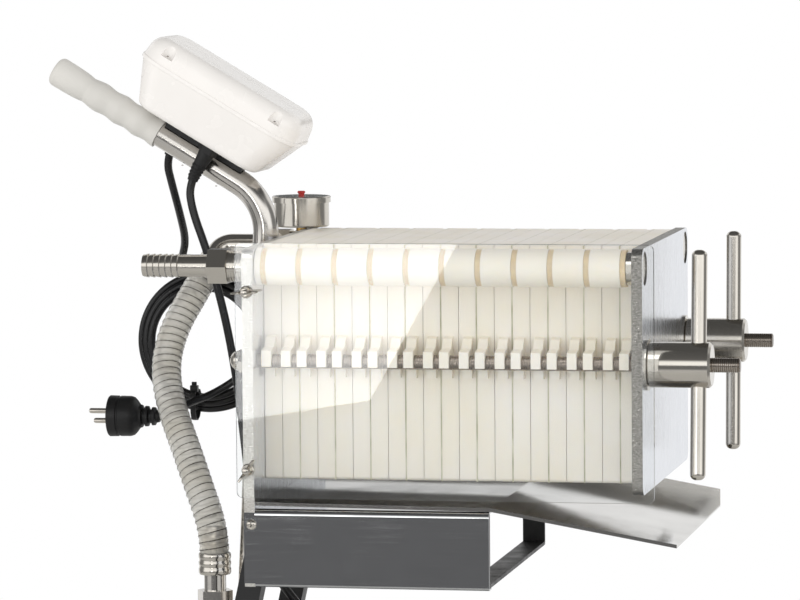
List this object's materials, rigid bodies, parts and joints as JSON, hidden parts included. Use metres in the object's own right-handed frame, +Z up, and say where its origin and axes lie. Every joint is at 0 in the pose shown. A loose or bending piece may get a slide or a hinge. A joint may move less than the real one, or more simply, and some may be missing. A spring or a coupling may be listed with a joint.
{
  "type": "plate filter press",
  "caption": "Small plate filter press on a two-wheel trolley with its pump, drip tray, clear splash guard and switch box",
  "frame": {"origin": "on the floor under the middle of the machine's box, measured without its free leads, coil and hose", "axes": "+X from the fixed head towards the moving end plate, +Y from the splash guard to the far side, +Z up"},
  "size_m": [0.6146, 0.3384, 0.8091],
  "materials": {
    "white_plate": "moulded food-grade plastic, slightly translucent",
    "amber_rubber": "soft amber rubber",
    "brushed_steel": "brushed and polished stainless steel",
    "clear_sheet": "clear plastic sheet",
    "black_paint": "black powder coat",
    "light_grip": "light grey soft grip",
    "box_plastic": "off-white moulded plastic",
    "black_plastic": "black plastic and cable sheath",
    "brass": "plain brass",
    "dial_face": "white dial",
    "black_rubber": "black rubber",
    "grey_paint": "grey enamel",
    "clear_hose": "clear plastic hose with a steel spiral"
  },
  "bodies": {
    "press_frame": {"near_ear_plates": "white_plate", "far_ear_plates": "white_plate", "port_gaskets": "amber_rubber", "head_plate": "brushed_steel", "tie_rods": "brushed_steel", "cap_nuts": "brushed_steel", "guard_wing_nuts": "brushed_steel", "front_apron": "brushed_steel", "drip_tray": "brushed_steel", "handle_tube": "brushed_steel", "outlet_spigot": "brushed_steel", "inlet_elbow": "brushed_steel", "gauge_case": "brushed_steel", "pump_body": "brushed_steel", "pump_riser": "brushed_steel", "hose_clamp": "brushed_steel", "wheel_axle": "brushed_steel", "base_plate": "brushed_steel", "splash_guard": "clear_sheet", "tray_strap": "black_paint", "leg_frame": "black_paint", "base_rails": "black_paint", "front_cross_tube": "black_paint", "handle_grip": "light_grip", "switch_box_base": "box_plastic", "switch_box_lid": "box_plastic", "box_saddle": "black_plastic", "cable_glands": "black_plastic", "mains_lead": "black_plastic", "plug_lead": "black_plastic", "mains_coil": "black_plastic", "mains_plug": "black_plastic", "motor_lead": "black_plastic", "motor_terminal_box": "black_plastic", "wheel_hubs": "black_plastic", "gauge_stem": "brass", "gauge_dial": "dial_face", "rubber_feet": "black_rubber", "wheel_tyres": "black_rubber", "pump_motor": "grey_paint", "delivery_hose": "clear_hose"},
    "end_plate": {"end_plate": "brushed_steel", "port_plugs": "brushed_steel", "clamp_washers": "brushed_steel"},
    "near_nut": {"near_tee_nut": "brushed_steel"},
    "far_nut": {"far_tee_nut": "brushed_steel"}
  },
  "joints": [
    {"name": "near_nut_turn", "type": "hinge", "parent": "end_plate", "child": "near_nut", "pos_m": [0.258, -0.117, 0.54], "axis": [1, 0, 0], "range_deg": [0, 3600]},
    {"name": "end_plate_slide", "type": "slide", "parent": "press_frame", "child": "end_plate", "axis": [1, 0, 0], "range_m": [0, 0.0201]},
    {"name": "far_nut_turn", "type": "hinge", "parent": "end_plate", "child": "far_nut", "pos_m": [0.258, 0.117, 0.54], "axis": [1, 0, 0], "range_deg": [0, 3600.5]}
  ],
  "couplings": [
    {"joint": "end_plate_slide", "follows": "near_nut_turn", "m_per_rad": 0.00031831},
    {"joint": "far_nut_turn", "follows": "near_nut_turn", "ratio": 1}
  ]
}
